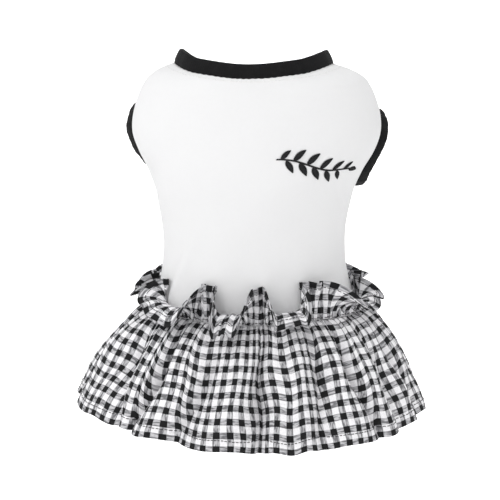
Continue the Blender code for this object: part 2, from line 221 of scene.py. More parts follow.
# One row for each skirt fold, by the valley at its start: its angle in degrees at the seam and at the hem,
# how deep it is as a share of FOLD_HEIGHT, at what share of the way down it is deepest, and how far in
# degrees it wanders. ridge is the height of the gore that follows, and skew moves that gore's top.
SKIRT_FOLDS = table(
    "seam hem valley deepest wander ridge skew",
    (-172.0, -170.0, 0.30, 0.5, 2.0, 0.80, 0.2),
    (-151.0, -144.0, 0.55, 0.4, -2.5, 0.50, -0.3),
    (-129.0, -134.0, 1.05, 0.5, 2.5, 0.90, 0.3),
    (-105.0, -113.0, 0.75, 0.8, 4.5, 1.00, -0.2),
    (-79.0, -85.0, 1.35, 0.6, -1.5, 1.00, 0.3),
    (-57.0, -54.0, 0.95, 0.5, 4.0, 0.80, -0.2),
    (-41.0, -36.0, 1.00, 0.4, -2.5, 0.65, 0.2),
    (-27.0, -21.0, 0.35, 0.3, 2.5, 0.55, 0.0),
    (-12.0, -9.0, 0.60, 0.4, -2.0, 0.75, -0.2),
    (10.0, 9.0, 0.50, 0.7, 2.0, 0.95, 0.2),
    (31.0, 29.0, 0.80, 0.5, -2.5, 0.85, -0.2),
    (51.0, 52.0, 0.40, 0.6, 3.0, 0.90, 0.3),
    (70.0, 72.0, 0.95, 0.5, -3.0, 1.00, 0.0),
    (92.0, 91.0, 0.55, 0.7, 2.5, 0.85, -0.3),
    (112.0, 111.0, 0.85, 0.5, -2.0, 0.90, 0.2),
    (131.0, 132.0, 0.40, 0.4, 3.0, 0.95, -0.1),
    (150.0, 153.0, 0.90, 0.6, -2.0, 0.85, 0.3),
    (169.0, 172.0, 0.45, 0.5, 2.0, 0.45, 0.0),
)

# One row for each wave of the frill, by the angle where it stands up against the bodice, the degrees
# that it stands over to each side, the share of a right angle by which it flops out before the next, the
# degrees by which the free edge leans into that dip from both sides, and the share of its height it keeps.
FRILL_WAVES = table(
    "stand half flop lean reach",
    (-181.0, 4.0, 0.61, 2.5, 0.78),
    (-152.0, 2.0, 0.98, -7.0, 0.84),
    (-120.0, 6.0, 1.06, 2.5, 1.00),
    (-83.0, 3.0, 0.98, -1.0, 1.00),
    (-48.0, 8.0, 0.78, 2.5, 1.00),
    (8.0, 9.0, 0.34, 1.0, 0.80),
    (42.0, 4.0, 0.95, 2.0, 0.88),
    (78.0, 4.0, 0.90, 0.0, 0.90),
    (113.0, 4.0, 0.95, 2.0, 0.90),
    (147.0, 3.0, 0.86, 1.0, 0.84),
)

# Soft dents and ridges of the worn jersey: the place of the middle by angle in degrees and share of the
# way down, half length and half width in metres, the lean from upright in degrees, and the height.
BODICE_WRINKLES = table(
    "at down half_length half_width lean height",
    (-22.0, 0.50, 0.024, 0.0050, 40.0, -0.0020),
    (-30.0, 0.56, 0.020, 0.0045, 52.0, 0.0008),
    (-150.0, 0.88, 0.022, 0.0032, -28.0, -0.0016),
    (-141.0, 0.84, 0.026, 0.0042, -26.0, 0.0013),
    (-128.0, 0.90, 0.018, 0.0045, 6.0, -0.0007),
    (-160.0, 0.46, 0.020, 0.0050, -48.0, -0.0011),
    (-70.0, 0.92, 0.018, 0.0042, 4.0, -0.0010),
    (-40.0, 0.86, 0.024, 0.0055, 14.0, -0.0009),
    (-55.0, 0.10, 0.018, 0.0050, 70.0, -0.0006),
    (-125.0, 0.10, 0.018, 0.0050, -70.0, -0.0006),
    (60.0, 0.55, 0.024, 0.0060, -40.0, -0.0012),
    (118.0, 0.55, 0.024, 0.0060, 40.0, -0.0012),
    (90.0, 0.82, 0.028, 0.0060, 3.0, -0.0010),
)

# Leaves of the embroidered sprig: the place along the stem, its side, and length and width in metres.
SPRIG_LEAVES = table(
    "along side length width",
    (0.04, 1, 0.0090, 0.0036),
    (0.12, -1, 0.0100, 0.0040),
    (0.21, 1, 0.0105, 0.0042),
    (0.30, -1, 0.0105, 0.0042),
    (0.39, 1, 0.0105, 0.0042),
    (0.48, -1, 0.0100, 0.0040),
    (0.57, 1, 0.0098, 0.0039),
    (0.66, -1, 0.0092, 0.0037),
    (0.75, 1, 0.0086, 0.0035),
    (0.83, -1, 0.0078, 0.0032),
    (0.91, 1, 0.0068, 0.0028),
    (1.00, 0, 0.0080, 0.0030),
)

# Loose thread ends: the surface that each one starts from, its angle in degrees and height on it, its
# length in metres, its turn in radians, and whether it is black.
LOOSE_ENDS = table(
    "on at height length turn black",
    ("frill", -168.0, 0.98, 0.007, 1.3, True),
    ("frill", -160.0, 0.97, 0.006, -0.9, True),
    ("frill", -52.0, 0.30, 0.009, 0.7, False),
    ("frill", -49.0, 0.26, 0.008, 2.0, False),
    ("frill", -20.0, 0.98, 0.007, -0.4, True),
    ("skirt", -66.0, 0.06, 0.008, -0.6, False),
    ("skirt", -150.0, 0.05, 0.007, 0.5, False),
    ("skirt", -171.0, 0.99, 0.007, 1.0, True),
)


def length_property(name, description, default):
    """A length setting in metres."""
    return bpy.props.FloatProperty(name=name, description=description, default=default, unit="LENGTH")


def colour_property(name, description, default):
    """A colour setting of three linear channels."""
    return bpy.props.FloatVectorProperty(
        name=name, description=description, default=default, size=3, min=0.0, max=1.0, subtype="COLOR"
    )


class DressSizes(bpy.types.PropertyGroup):
    """Sizes that a user may change."""

    check_pitch: length_property("Check pitch", "Width of one dark and one light stripe", 0.0088)
    thread_pitch: length_property("Thread pitch", "Distance between two threads of the woven cloth", 0.00045)
    wale_pitch: length_property("Wale pitch", "Distance between two columns of jersey loops", 0.00075)
    rib_pitch: length_property("Rib pitch", "Distance between two ribs of the knit bands", 0.0009)
    band_height: length_property("Band height", "Height of the knit bands", 0.0096)
    band_thickness: length_property("Band thickness", "Thickness of the folded knit bands", 0.0024)
    jersey_thickness: length_property("Jersey thickness", "Thickness of the bodice cloth", 0.0011)
    poplin_thickness: length_property("Gingham thickness", "Thickness of the skirt and frill cloth", 0.0007)
    hem_width: length_property("Hem width", "Height of the skirt's turned hem", 0.0078)
    frill_hem_width: length_property("Frill hem width", "Height of the frill's turned edge", 0.0042)
    gather_depth: length_property("Gather depth", "Depth of the small gathers at the waist seam", 0.0012)
    stitch_length: length_property("Stitch length", "Length of one machine stitch", 0.0026)
    thread_radius: length_property("Thread radius", "Half the thickness of the sewing thread", 0.00025)


class DressColours(bpy.types.PropertyGroup):
    """Colours that a user may change."""

    jersey: colour_property("Jersey", "White jersey of the bodice", (0.83, 0.83, 0.835))
    knit: colour_property("Knit bands", "Black rib knit of the bands", (0.0045, 0.0045, 0.0051))
    light_thread: colour_property("Light thread", "Light threads of the gingham", (0.93, 0.92, 0.94))
    dark_thread: colour_property("Dark thread", "Dark threads of the gingham", (0.0085, 0.0085, 0.0095))
    mixed_check: colour_property("Mixed check", "Squares where both threads cross", (0.38, 0.38, 0.40))
    sewing_thread: colour_property("Sewing thread", "Sewing and embroidery thread", (0.012, 0.012, 0.013))
    white_sewing: colour_property("White sewing thread", "White thread of the bodice", (0.80, 0.80, 0.80))
    floor: colour_property("Floor", "Pale studio floor", (0.92, 0.92, 0.92))


def sizes():
    return bpy.context.scene.dress_sizes


def colours():
    return bpy.context.scene.dress_colours


# Curves and surfaces of the dress


def smooth_column(table, column, at, along="down"):
    """The column's value at `at`, on a cubic through the table's rows that keeps their slopes."""
    x = np.array([row[along] for row in table])
    y = np.array([row[column] for row in table])
    slope = np.gradient(y, x)
    i = np.clip(np.searchsorted(x, at, side="right") - 1, 0, len(x) - 2)
    step = x[i + 1] - x[i]
    u = (at - x[i]) / step
    start = (1 + 2 * u) * (1 - u) ** 2 * y[i] + u * (1 - u) ** 2 * step * slope[i]
    end = u * u * (3 - 2 * u) * y[i + 1] + u * u * (u - 1) * step * slope[i + 1]
    return start + end


def round_share(column, angle):
    """The value of a column of DIRECTIONS at any angle, on a smooth closed curve through its rows."""
    rows = DIRECTIONS[-2:] + DIRECTIONS + DIRECTIONS[:3]
    count = len(DIRECTIONS)
    place = np.mod(np.degrees(angle) - DIRECTIONS[0]["at"], 360.0) / (360.0 / count) + 2
    spread = tuple({"place": i, column: row[column]} for i, row in enumerate(rows))
    return smooth_column(spread, column, place, "place")


def turned(table, column):
    """The table's angles in radians, followed by the first one a full turn on."""
    angles = np.radians([row[column] for row in table])
    return np.append(angles, angles[0] + 2 * math.pi)


def bodice_radius(angle, down):
    """Squared oval: (|cos|/width)^n + (|sin|/depth)^n to the power -1/n, with its own depth on the back."""
    half_width = CHEST_HALF_WIDTH * smooth_column(BODICE_SECTIONS, "width", down)
    back = BACK_DEPTH * smooth_column(BODICE_SECTIONS, "back", down)
    belly = BELLY_DEPTH * smooth_column(BODICE_SECTIONS, "belly", down)
    depth = np.where(np.sin(angle) < 0, back, belly)
    wide = (np.abs(np.cos(angle)) / half_width) ** BODICE_SQUARENESS
    deep = (np.abs(np.sin(angle)) / depth) ** BODICE_SQUARENESS
    return (wide + deep) ** (-1 / BODICE_SQUARENESS)


def neck_height(angle):
    return -NECK_SCOOP * round_share("neck", angle)


def seam_height(angle):
    return -BODICE_LENGTH * round_share("seam", angle)


def round_point(angle, radius, height):
    return np.stack([radius * np.cos(angle), radius * np.sin(angle), height], axis=-1)


def askew(points, down):
    """The points moved right by the shift of the bodice's section at this share of its length."""
    shift = CHEST_HALF_WIDTH * smooth_column(BODICE_SECTIONS, "shift", down)
    return points + np.multiply.outer(shift, np.array([1.0, 0.0, 0.0]))


def bodice_face(angle, down):
    """Outer face of the jersey: the section's oval at a height between the neck edge and the seam."""
    top = neck_height(angle)
    height = top + (seam_height(angle) - top) * down
    return askew(round_point(angle, bodice_radius(angle, down), height), down)


def normals_of(surface, angle, down):
    """Unit normals from the cross product of small steps across and along the surface."""
    step = 1e-4
    across = surface(angle + step, down) - surface(angle - step, down)
    along = surface(angle, down + step) - surface(angle, down - step)
    normal = np.cross(along, across)
    return normal / np.maximum(np.linalg.norm(normal, axis=-1, keepdims=True), 1e-12)


def angle_between(angle, middle):
    """Signed turn from middle to angle, within half a turn."""
    return np.mod(angle - middle + math.pi, 2 * math.pi) - math.pi


def bodice_relief(angle, down):
    """Height of the wrinkles: a sum of long soft bumps, exp(-(l/half_length)^2 - (w/half_width)^2) each,
    with short upright puckers over the waist seam and a pinch along each side seam."""
    radius = bodice_radius(angle, down)
    relief = np.zeros(np.shape(radius))
    for row in BODICE_WRINKLES:
        across = angle_between(angle, math.radians(row["at"])) * radius
        along = (down - row["down"]) * BODICE_LENGTH
        lean = math.radians(row["lean"])
        length = along * math.cos(lean) + across * math.sin(lean)
        width = across * math.cos(lean) - along * math.sin(lean)
        spread = (length / row["half_length"]) ** 2 + (width / row["half_width"]) ** 2
        relief += row["height"] * np.exp(-spread)
    near_seam = np.exp(-(((1.0 - down) / 0.055) ** 2))
    pucker = np.sin(57 * angle + 1.3 * np.sin(5 * angle)) + 0.6 * np.sin(83 * angle + 2.0)
    relief += 0.00028 * near_seam * pucker
    near_neck = np.exp(-((down / 0.022) ** 2))
    relief += 0.00012 * near_neck * np.sin(71 * angle + 0.8 * np.sin(7 * angle))
    for side in (SIDE_SEAM_ANGLE, 180.0 - SIDE_SEAM_ANGLE):
        off = np.abs(angle_between(angle, math.radians(side))) * radius
        relief -= 0.0007 * np.exp(-((off / 0.0012) ** 2))
        relief += 0.00035 * np.exp(-(((off - 0.0035) / 0.0020) ** 2))
    slow = np.sin(3 * angle + 5 * down) * np.sin(4.3 * down * math.pi + 2 * angle)
    return relief + 0.0005 * slow * np.sin(math.pi * np.clip(down, 0, 1))


def jersey_face(angle, down):
    """The bodice's outer face, raised along its normal by the wrinkles."""
    relief = bodice_relief(angle, down)[..., None]
    return bodice_face(angle, down) + relief * normals_of(bodice_face, angle, down)


def valley_line(row, down):
    """Angle of a valley of SKIRT_FOLDS on its way down, which strays as wander * sin(5 down)."""
    straight = row["seam"] + (row["hem"] - row["seam"]) * down
    return np.radians(straight + row["wander"] * np.sin(5.0 * down) * np.clip(down, 0, 1))


def fold_shape(angle, down):
    """Height of the skirt's folds as a share of the fold height. Between two valleys at s = 0 and s = 1 it is
    ridge - (ridge + valley) * |2t - 1|^2.4, where t is s skewed to one side and the valley's depth fades
    above and below its deepest place, so that broad gores meet in creases that come and go."""
    height = np.zeros(np.broadcast(angle, down).shape)
    for i, row in enumerate(SKIRT_FOLDS):
        after = SKIRT_FOLDS[(i + 1) % len(SKIRT_FOLDS)]
        first = valley_line(row, down)
        width = np.mod(valley_line(after, down) - first, 2 * math.pi)
        share = np.mod(angle - first, 2 * math.pi) / width
        inside = np.clip(share, 0, 1)
        inside = inside + row["skew"] * inside * (1 - inside)
        near = [r["valley"] * np.exp(-(((down - r["deepest"]) / 0.42) ** 2)) for r in (row, after)]
        valley = np.where(inside < 0.5, near[0], near[1])
        rise = row["ridge"] - (row["ridge"] + valley) * np.abs(2 * inside - 1) ** 2.4
        height = np.where(share < 1, rise, height)
    return height


def fine_gathers(angle):
    """Small uneven tucks of the gathered edge, as two waves whose pace changes round the seam."""
    quick = np.sin(96 * angle + 2.1 * np.sin(9 * angle))
    return quick + 0.7 * np.sin(61 * angle + 1.4 * np.sin(13 * angle) + 1)


def skirt_face(angle, down):
    """Outer face of the skirt: the seam oval moved out by the flare, the folds and the gathers, which fade as
    exp(-down / 0.18), and down by the hem drop. Slow waves of a few millimetres let the cloth sag unevenly,
    and the turned hem stands out by its extra layer."""
    hang = np.sin(math.pi * np.clip(down, 0, 1))
    out = smooth_column(SKIRT_FALL, "out", np.clip(down, 0, 1))
    grown = SKIRT_PUFF + (FOLD_HEIGHT - SKIRT_PUFF) * np.sin(2.45 * np.clip(down, 0, 1))
    broad = np.sin(37 * angle + 1.2 * np.sin(8 * angle)) * np.exp(-down / 0.45)
    start = 1 - np.exp(-np.abs(down) / 0.012)
    gathers = sizes().gather_depth * (fine_gathers(angle) * np.exp(-down / 0.18) + 1.1 * broad) * start
    slack = 0.0013 * np.sin(11 * angle + 7 * down + 1.5 * np.sin(3 * angle)) * hang
    radius = bodice_radius(angle, 1.0) + SKIRT_SEAT + out * SKIRT_FLARE * round_share("flare", angle)
    hem_from = 1 - sizes().hem_width / (SKIRT_DROP * 1.15)
    on_hem = 1 / (1 + np.exp(-(down - hem_from) / 0.004))
    near_hem = np.exp(-(((down - hem_from) / 0.05) ** 2))
    pucker = 0.00022 * np.sin(150 * angle + 1.1 * np.sin(11 * angle)) * near_hem
    radius = radius + fold_shape(angle, down) * grown + gathers + slack + HEM_LAYER * on_hem + pucker
    edge = 0.0009 * np.sin(19 * angle + 2 * np.sin(5 * angle)) * down**4
    sag = 0.0016 * np.sin(13 * angle + 2.5 * np.sin(4 * angle) + 4 * down) * hang
    level = seam_height(angle) - (SKIRT_DROP * round_share("drop", angle) + edge) * down - sag
    sway = (0.016 * np.sin(6 * down + 7 * angle) + 0.010 * np.sin(9 * down + 17 * angle)) * hang
    return askew(round_point(angle + sway, radius, level), np.ones(np.shape(level)))


def frill_wave(angle):
    """(share of a right angle by which the frill tips outwards, lean of its free edge along the seam): each
    dip between two stands tips by flop * (1 - (2s - 1)^4)^1.3 and leans by lean * sin(2 pi s)."""
    stand = turned(FRILL_WAVES, "stand")
    half = np.radians([row["half"] for row in FRILL_WAVES])
    half = np.append(half, half[0])
    flop = np.zeros(np.shape(angle))
    lean = np.zeros(np.shape(angle))
    for i, row in enumerate(FRILL_WAVES):
        first = stand[i] + half[i]
        last = stand[i + 1] - half[i + 1]
        share = np.clip(np.mod(angle - first, 2 * math.pi) / (last - first), 0, 1)
        rise = row["flop"] * (1 - (2 * share - 1) ** 4) ** 1.3
        flop = np.maximum(flop, np.where(share < 1, rise, 0))
        across = np.clip(np.mod(angle - stand[i], 2 * math.pi) / (stand[i + 1] - stand[i]), 0, 1)
        lean += math.radians(row["lean"]) * np.sin(2 * math.pi * across)
    return flop, lean


def frill_reach(angle):
    """Share of the strip's height that its crumples leave, straight between the shares at the stands."""
    stand = turned(FRILL_WAVES, "stand")
    reach = [row["reach"] for row in FRILL_WAVES]
    reach.append(reach[0])
    return np.interp(np.mod(angle - stand[0], 2 * math.pi), stand - stand[0], reach)


def frill_base(angle, up):
    """The frill bent outwards along an arc by its flop, with crumples that grow towards its free edge."""
    flop, lean = frill_wave(angle)
    ripple = np.sin(29 * angle + 1.6 * np.sin(4 * angle))
    ripple += 0.6 * np.sin(47 * angle + 1.1 * np.sin(7 * angle) + 2)
    bend = (flop * (1 + 0.05 * np.sin(13 * angle)) + 0.065 * ripple * up) * math.pi / 2
    run = FRILL_HEIGHT * up * frill_reach(angle) * (1 + 0.03 * np.sin(7 * angle + 1))
    sway = 0.020 * np.sin(23 * angle + 2.2 * up + 1.5 * np.sin(5 * angle)) * up**2
    crumple = 0.0006 * np.sin(83 * angle + 9 * up + 2 * np.sin(11 * angle)) * up * (1.3 - up)
    radius = bodice_radius(angle, 1.0) + SEAT_GAP + run * np.sin(bend * up) + 0.0008 * ripple * up + crumple
    level = seam_height(angle) + SEAT_GAP + run * np.cos(bend * up)
    return askew(round_point(angle + lean * up**2 + sway, radius, level), np.ones(np.shape(level)))


def frill_face(angle, up):
    """Outer face of the frill: its bent strip moved out along its normal by the cloth, the gathers and the
    turned edge's extra layer."""
    hem_from = 1 - sizes().frill_hem_width / FRILL_HEIGHT
    on_hem = EDGE_LAYER / (1 + np.exp(-(up - hem_from) / 0.010))
    near = np.exp(-np.abs(up) / 0.30) * (1 - np.exp(-np.abs(up) / 0.02))
    out = FRILL_SEAT + on_hem + sizes().gather_depth * fine_gathers(angle) * near
    return frill_base(angle, up) - normals_of(frill_base, angle, up) * out[..., None]


# Meshes


def grid_faces(rows, columns, closed):
    """Quads of a grid of points numbered row by row, joined round the columns where it is closed."""
    last = columns if closed else columns - 1
    i, k = np.meshgrid(np.arange(rows - 1), np.arange(last), indexing="ij")
    k2 = (k + 1) % columns
    here = i * columns + k
    beside = i * columns + k2
    return np.stack([here, here + columns, beside + columns, beside], axis=-1).reshape(-1, 4)


def new_piece(name, points, faces, material, uv=None):
    """A smooth mesh object from arrays of points and faces, with uv given for each face corner."""
    mesh = bpy.data.meshes.new(name)
    faces = np.asarray(faces, np.int32)
    mesh.vertices.add(len(points))
    mesh.vertices.foreach_set("co", np.asarray(points, np.float32).ravel())
    mesh.loops.add(faces.size)
    mesh.loops.foreach_set("vertex_index", faces.ravel())
    mesh.polygons.add(len(faces))
    mesh.polygons.foreach_set("loop_start", np.arange(len(faces), dtype=np.int32) * faces.shape[1])
    mesh.update(calc_edges=True)
    mesh.shade_smooth()
    if uv is not None:
        mesh.uv_layers.new(name="cloth").data.foreach_set("uv", np.asarray(uv, np.float32).ravel())
    mesh.materials.append(material)
    made = bpy.data.objects.new(name, mesh)
    bpy.context.scene.collection.objects.link(made)
    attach(made, "root")
    return made


def add_wall(piece, thickness):
    """Gives a sheet its thickness on the inner side, so that it is closed."""
    wall = piece.modifiers.new("thickness", "SOLIDIFY")
    wall.thickness = thickness
    wall.offset = -1.0
    wall.use_even_offset = False


def corner_uv(u, v, faces, wrap=None):
    """UV of each face corner from values at the points. wrap is added where a face crosses the join."""
    corner = np.stack([u.ravel()[faces], v.ravel()[faces]], axis=-1)
    if wrap:
        crossing = np.ptp(corner[..., 0], axis=1) > wrap / 2
        low = corner[..., 0] < wrap / 2
        corner[..., 0] += wrap * (low & crossing[:, None])
    return corner


def run_along(points, axis):
    """Distance run along one axis of a grid of points."""
    step = np.linalg.norm(np.diff(points, axis=axis), axis=-1)
    start = np.zeros_like(np.take(step, [0], axis=axis))
    return np.concatenate([start, np.cumsum(step, axis=axis)], axis=axis)


def whole_checks(length):
    """The length rounded to whole checks, so that the pattern meets itself."""
    pitch = sizes().check_pitch
    return max(1, round(length / pitch)) * pitch


def tubes(paths, radius):
    """Round-ended tubes along paths, an array [tube, step, xyz]: a circle carried along each path on a frame
    from its direction and a fixed side vector, and shrunk at both ends."""
    sides = TUBE_SIDES
    paths = np.asarray(paths, float)
    count, steps = paths.shape[:2]
    along = np.gradient(paths, axis=1)
    along /= np.maximum(np.linalg.norm(along, axis=-1, keepdims=True), 1e-12)
    helper = np.where(np.abs(along[..., 2:3]) > 0.8, np.array([1.0, 0, 0]), np.array([0, 0, 1.0]))
    side = np.cross(along, helper)
    side /= np.maximum(np.linalg.norm(side, axis=-1, keepdims=True), 1e-12)
    over = np.cross(side, along)
    share = np.linspace(-1, 1, steps)
    taper = radius * np.sqrt(np.clip(1 - share**6, 0.02, 1))
    turn = np.linspace(0, 2 * math.pi, sides, endpoint=False)[None, None, :, None]
    ring = side[:, :, None] * np.cos(turn) + over[:, :, None] * np.sin(turn)
    points = paths[:, :, None] + ring * taper[None, :, None, None]
    base = grid_faces(steps, sides, True)
    offset = np.arange(count)[:, None, None] * steps * sides
    faces = (base[None] + offset).reshape(-1, 4)
    first = np.arange(count) * steps * sides
    last = first + (steps - 1) * sides
    half = sides // 2
    caps = []
    for k in range(half - 1):
        corners = np.array([k, k + 1, sides - 2 - k, sides - 1 - k])
        caps.append(first[:, None] + corners)
        caps.append(last[:, None] + corners[[0, 3, 2, 1]])
    return points.reshape(-1, 3), np.concatenate([faces] + caps)


def stitch_row(surface, level, count, lift, fill, off=0.0):
    """Machine stitches round a surface: short threads between evenly spaced needle holes on a line at one
    share of the height, each arched as the root of a sine and dipping into the cloth at its ends."""
    start = np.linspace(-math.pi, math.pi, count, endpoint=False)
    reach = 2 * math.pi / count
    share = np.linspace(0, 1, THREAD_STEPS)
    angle = start[:, None] + reach * (0.5 + fill * (share - 0.5))[None, :]
    down = np.broadcast_to(level, angle.shape)
    rise = off + lift * (np.sin(math.pi * share) ** 0.5 - 0.35)
    return surface(angle, down) + normals_of(surface, angle, down) * rise[None, :, None]


# Materials


class NodeDesk:
    """Short names for adding and joining shader nodes."""

    def __init__(self, tree):
        self.tree = tree

    def add(self, kind, **settings):
        node = self.tree.nodes.new(kind)
        for key, value in settings.items():
            setattr(node, key, value)
        return node

    def put(self, node, socket, value):
        if isinstance(value, bpy.types.NodeSocket):
            self.tree.links.new(value, node.inputs[socket])
        elif value is not None:
            node.inputs[socket].default_value = value

    def math(self, operation, a, b=None):
        node = self.add("ShaderNodeMath", operation=operation)
        self.put(node, 0, a)
        self.put(node, 1, b)
        return node.outputs[0]

    def mix(self, share, a, b):
        node = self.add("ShaderNodeMix", data_type="RGBA")
        self.put(node, 0, share)
        self.put(node, 6, a)
        self.put(node, 7, b)
        return node.outputs[2]

    def between(self, value, low, high):
        node = self.add("ShaderNodeMapRange", interpolation_type="SMOOTHSTEP")
        for i, number in enumerate((value, low, high)):
            self.put(node, i, number)
        return node.outputs[0]

    def noise(self, vector, scale, detail=2.0):
        node = self.add("ShaderNodeTexNoise")
        self.put(node, "Vector", vector)
        self.put(node, "Scale", scale)
        self.put(node, "Detail", detail)
        return node.outputs[0]


def node_group(name, ins, outs):
    """A new shader node group with named sockets: (its desk, its input node, its output node)."""
    group = bpy.data.node_groups.new(name, "ShaderNodeTree")
    for label, kind, default in ins:
        socket = group.interface.new_socket(label, in_out="INPUT", socket_type=kind)
        if default is not None:
            socket.default_value = default
    for label, kind in outs:
        group.interface.new_socket(label, in_out="OUTPUT", socket_type=kind)
    desk = NodeDesk(group)
    return desk, desk.add("NodeGroupInput"), desk.add("NodeGroupOutput")


def woven_group():
    """Plain weave: threads over and under each other, as the product of two waves at the thread pitch."""
    desk, given, out = node_group(
        "plain_weave",
        [("Vector", "NodeSocketVector", None), ("Pitch", "NodeSocketFloat", 0.0005)],
        [("Height", "NodeSocketFloat"), ("Slub", "NodeSocketFloat")],
    )
    parts = desk.add("ShaderNodeSeparateXYZ")
    desk.put(parts, 0, given.outputs["Vector"])
    x = desk.math("DIVIDE", parts.outputs[0], given.outputs["Pitch"])
    y = desk.math("DIVIDE", parts.outputs[1], given.outputs["Pitch"])
    warp = desk.math("ABSOLUTE", desk.math("SINE", desk.math("MULTIPLY", x, math.pi)))
    weft = desk.math("ABSOLUTE", desk.math("SINE", desk.math("MULTIPLY", y, math.pi)))
    cell = desk.math("ADD", desk.math("FLOOR", x), desk.math("FLOOR", y))
    over = desk.math("PINGPONG", cell, 1.0)
    top = desk.math("MULTIPLY", warp, over)
    under = desk.math("MULTIPLY", weft, desk.math("SUBTRACT", 1.0, over))
    slub = desk.add("ShaderNodeTexNoise", noise_dimensions="2D")
    desk.put(slub, "Vector", given.outputs["Vector"])
    desk.put(slub, "Scale", 900.0)
    desk.tree.links.new(desk.math("ADD", top, under), out.inputs["Height"])
    desk.tree.links.new(slub.outputs[0], out.inputs["Slub"])
    return desk.tree


def gingham_group():
    """Gingham: a stripe is on where the ping-pong of distance over pitch passes a half. Two stripes crossing
    give the dark square, one gives the mixed square, and none gives the light square."""
    desk, given, out = node_group(
        "gingham_check",
        [
            ("Vector", "NodeSocketVector", None),
            ("Pitch", "NodeSocketFloat", 0.008),
            ("Light", "NodeSocketColor", (1, 1, 1, 1)),
            ("Mixed", "NodeSocketColor", (0.3, 0.3, 0.3, 1)),
            ("Dark", "NodeSocketColor", (0, 0, 0, 1)),
        ],
        [("Color", "NodeSocketColor")],
    )
    parts = desk.add("ShaderNodeSeparateXYZ")
    desk.put(parts, 0, given.outputs["Vector"])
    wobble = desk.noise(given.outputs["Vector"], 260.0)
    stripes = []
    for axis in (0, 1):
        place = desk.math("DIVIDE", parts.outputs[axis], given.outputs["Pitch"])
        place = desk.math("ADD", place, desk.math("MULTIPLY", desk.math("SUBTRACT", wobble, 0.5), 0.05))
        wave = desk.math("PINGPONG", desk.math("MULTIPLY", place, 2.0), 1.0)
        stripes.append(desk.between(wave, 0.46, 0.54))
    both = desk.math("MULTIPLY", stripes[0], stripes[1])
    either = desk.math("MAXIMUM", stripes[0], stripes[1])
    # Slubs: short streaks along the dark threads of each mixed square, lighter and darker.
    streaks = []
    for stretch in ((1.0, 0.22, 1.0), (0.22, 1.0, 1.0)):
        along = desk.add("ShaderNodeVectorMath", operation="MULTIPLY")
        desk.put(along, 0, given.outputs["Vector"])
        desk.put(along, 1, stretch)
        streaks.append(desk.between(desk.noise(along.outputs[0], 760.0), 0.38, 0.62))
    first = desk.math("MULTIPLY", streaks[0], stripes[0])
    second = desk.math("MULTIPLY", streaks[1], desk.math("SUBTRACT", 1.0, stripes[0]))
    streak = desk.math("ADD", first, second)
    low = desk.mix(0.55, given.outputs["Mixed"], given.outputs["Dark"])
    high = desk.mix(0.42, given.outputs["Mixed"], given.outputs["Light"])
    mixed = desk.mix(streak, low, high)
    colour = desk.mix(either, given.outputs["Light"], mixed)
    colour = desk.mix(both, colour, given.outputs["Dark"])
    desk.tree.links.new(colour, out.inputs["Color"])
    return desk.tree


def knit_group():
    """Knit loops: columns of V shapes, as a wave across that is shifted by a wave along. Valley marks the
    grooves between the columns, where the jersey's colour gets painted shade.
    """
    desk, given, out = node_group(
        "knit_loops",
        [
            ("Vector", "NodeSocketVector", None),
            ("Pitch", "NodeSocketFloat", 0.0008),
            ("Rib", "NodeSocketFloat", 0.0),
        ],
        [("Height", "NodeSocketFloat"), ("Valley", "NodeSocketFloat")],
    )
    parts = desk.add("ShaderNodeSeparateXYZ")
    desk.put(parts, 0, given.outputs["Vector"])
    x = desk.math("DIVIDE", parts.outputs[0], given.outputs["Pitch"])
    y = desk.math("DIVIDE", parts.outputs[1], given.outputs["Pitch"])
    column = desk.math("PINGPONG", desk.math("MULTIPLY", x, 2.0), 1.0)
    slope = desk.math("ADD", desk.math("MULTIPLY", y, 1.3), desk.math("MULTIPLY", column, 0.7))
    loop = desk.math("ABSOLUTE", desk.math("SINE", desk.math("MULTIPLY", slope, math.pi)))
    bow = desk.math("SINE", desk.math("MULTIPLY", column, math.pi / 2))
    rib = desk.math("MULTIPLY", desk.math("SINE", desk.math("MULTIPLY", x, math.pi)), given.outputs["Rib"])
    high = desk.math("ADD", desk.math("MULTIPLY", loop, desk.math("ADD", bow, 0.25)), rib)
    desk.tree.links.new(high, out.inputs["Height"])
    desk.tree.links.new(desk.between(bow, 0.45, 0.0), out.inputs["Valley"])
    return desk.tree


def soft_tone_group():
    """Slow uneven tone of real cloth: broad and fine noise in the object's own space, mixed to one value."""
    desk, given, out = node_group(
        "soft_tone",
        [("Vector", "NodeSocketVector", None), ("Amount", "NodeSocketFloat", 0.1)],
        [("Tone", "NodeSocketFloat")],
    )
    broad = desk.noise(given.outputs["Vector"], 22.0, 3.0)
    fine = desk.noise(given.outputs["Vector"], 420.0)
    both = desk.math("ADD", desk.math("MULTIPLY", broad, 0.6), desk.math("MULTIPLY", fine, 0.4))
    off = desk.math("MULTIPLY", desk.math("SUBTRACT", both, 0.5), given.outputs["Amount"])
    desk.tree.links.new(desk.math("ADD", 1.0, off), out.inputs["Tone"])
    return desk.tree


GROUPS = {}


def place_group(desk, name, **values):
    """A node that uses one of the shared groups, which is built the first time."""
    makers = {"weave": woven_group, "gingham": gingham_group, "knit": knit_group, "tone": soft_tone_group}
    if name not in GROUPS:
        GROUPS[name] = makers[name]()
    node = desk.add("ShaderNodeGroup", node_tree=GROUPS[name])
    for key, value in values.items():
        desk.put(node, key.replace("_", " "), value)
    return node


def with_alpha(colour):
    return (*colour, 1.0)


def new_material(name, roughness):
    """A material with its desk and its Principled shader."""
    material = bpy.data.materials.new(name)
    material.use_nodes = True
    desk = NodeDesk(material.node_tree)
    shader = material.node_tree.nodes["Principled BSDF"]
    shader.inputs["Roughness"].default_value = roughness
    shader.inputs["Specular IOR Level"].default_value = 0.25
    return material, desk, shader


